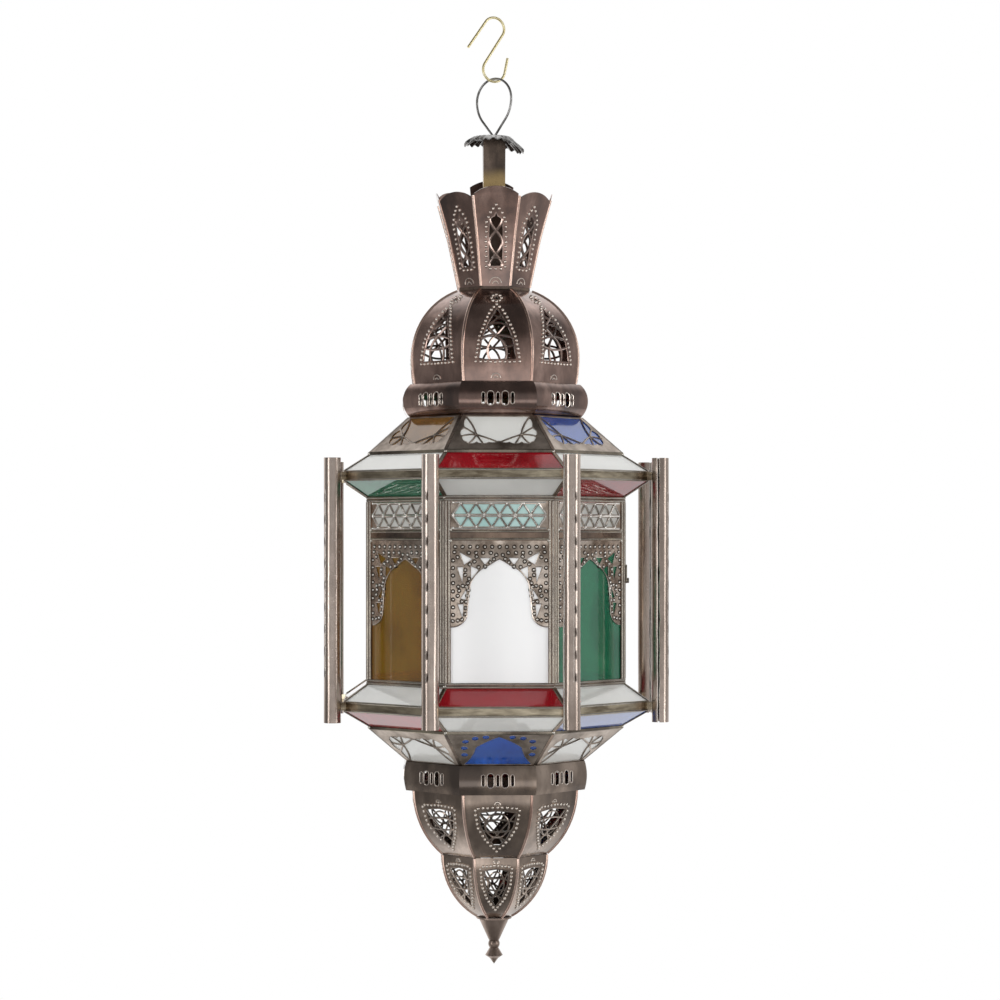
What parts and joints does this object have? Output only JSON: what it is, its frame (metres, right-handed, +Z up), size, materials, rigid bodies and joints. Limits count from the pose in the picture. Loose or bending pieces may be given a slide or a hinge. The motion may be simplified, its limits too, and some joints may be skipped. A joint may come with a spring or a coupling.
{
  "type": "fanous lantern",
  "caption": "Hanging eight-sided fanous lantern of pierced copper sheet and coloured glass, with columns, a side door, a candle cup, a hanging loop and an S-hook.",
  "frame": {"origin": "inside top of the hook's upper bend, the point that the lantern hangs from", "axes": "+Z up along the lantern's axis, -Y out of the front face, +X out of the door face"},
  "size_m": [0.2586, 0.2586, 0.7293],
  "materials": {
    "hook_brass": "bare drawn brass wire",
    "loop_steel": "dark drawn steel wire",
    "dark_bronze": "oxidised bronze sheet and spun metal",
    "copper_sheet": "oxidised copper sheet, polished back on the high parts",
    "copper_rib": "copper joint strip",
    "fret_sheet": "pierced and beaded copper sheet",
    "came_tin": "tinned strip with dark patina",
    "column_sheet": "rolled sheet, pewter toned",
    "floor_sheet": "tinned sheet",
    "hinge_metal": "aged brass",
    "glass_white": "white frosted glass",
    "glass_blue": "blue glass",
    "glass_amber": "amber glass",
    "glass_red": "red glass",
    "glass_green": "green glass",
    "glass_turquoise": "turquoise glass"
  },
  "bodies": {
    "hook": {"s_hook": "hook_brass"},
    "loop": {"hanging_loop": "loop_steel"},
    "lantern": {"drip_cap": "dark_bronze", "stem": "dark_bronze", "neck_plate": "dark_bronze", "finial_cone": "dark_bronze", "finial_knob": "dark_bronze", "crown_petals": "copper_sheet", "dome_gores": "copper_sheet", "upper_collar": "copper_sheet", "lower_collar": "copper_sheet", "bowl_gores": "copper_sheet", "pendant_gores": "copper_sheet", "crown_ribs": "copper_rib", "dome_ribs": "copper_rib", "bowl_ribs": "copper_rib", "pendant_ribs": "copper_rib", "roof_frets": "fret_sheet", "cone_frets": "fret_sheet", "frieze_frets": "fret_sheet", "arch_frets": "fret_sheet", "upper_cames": "came_tin", "lower_cames": "came_tin", "upper_hip_ring": "came_tin", "lower_hip_ring": "came_tin", "upper_band": "came_tin", "lower_band": "came_tin", "body_top_rail": "came_tin", "body_bottom_rail": "came_tin", "body_posts": "came_tin", "body_crossbars": "came_tin", "columns": "column_sheet", "floor_plate": "floor_sheet", "candle_cup": "floor_sheet", "post_knuckles": "hinge_metal", "hinge_pins": "hinge_metal", "latch_stud": "hinge_metal", "roof_panes_white": "glass_white", "eave_panes_white": "glass_white", "sill_panes_white": "glass_white", "cone_panes_white": "glass_white", "frieze_panes_white": "glass_white", "main_panes_white": "glass_white", "roof_panes_blue": "glass_blue", "sill_panes_blue": "glass_blue", "cone_panes_blue": "glass_blue", "roof_panes_amber": "glass_amber", "main_panes_amber": "glass_amber", "eave_panes_red": "glass_red", "sill_panes_red": "glass_red", "eave_panes_green": "glass_green", "main_panes_green": "glass_green", "frieze_panes_turquoise": "glass_turquoise"},
    "door": {"door_frame": "came_tin", "door_frieze_fret": "fret_sheet", "door_arch_fret": "fret_sheet", "door_frieze_pane": "glass_turquoise", "door_main_pane": "glass_white", "door_knuckles": "hinge_metal"},
    "latch": {"latch_lever": "hinge_metal"}
  },
  "joints": [
    {"name": "lantern_swing", "type": "hinge", "parent": "hook", "child": "loop", "pos_m": [0, 0, -0.0483], "axis": [0.9397, 0.342, 0], "range_deg": [-35, 35]},
    {"name": "loop_swivel", "type": "hinge", "parent": "loop", "child": "lantern", "pos_m": [0, 0, -0.09106], "axis": [0, 0, 1], "continuous": true},
    {"name": "door_hinge", "type": "hinge", "parent": "lantern", "child": "door", "pos_m": [0.0994, 0.03529, -0.43921], "axis": [0, 0, 1], "range_deg": [0, 100]},
    {"name": "latch_turn", "type": "hinge", "parent": "lantern", "child": "latch", "pos_m": [0.0979, -0.03799, -0.43171], "axis": [-1, 0, 0], "range_deg": [0, 90]}
  ]
}
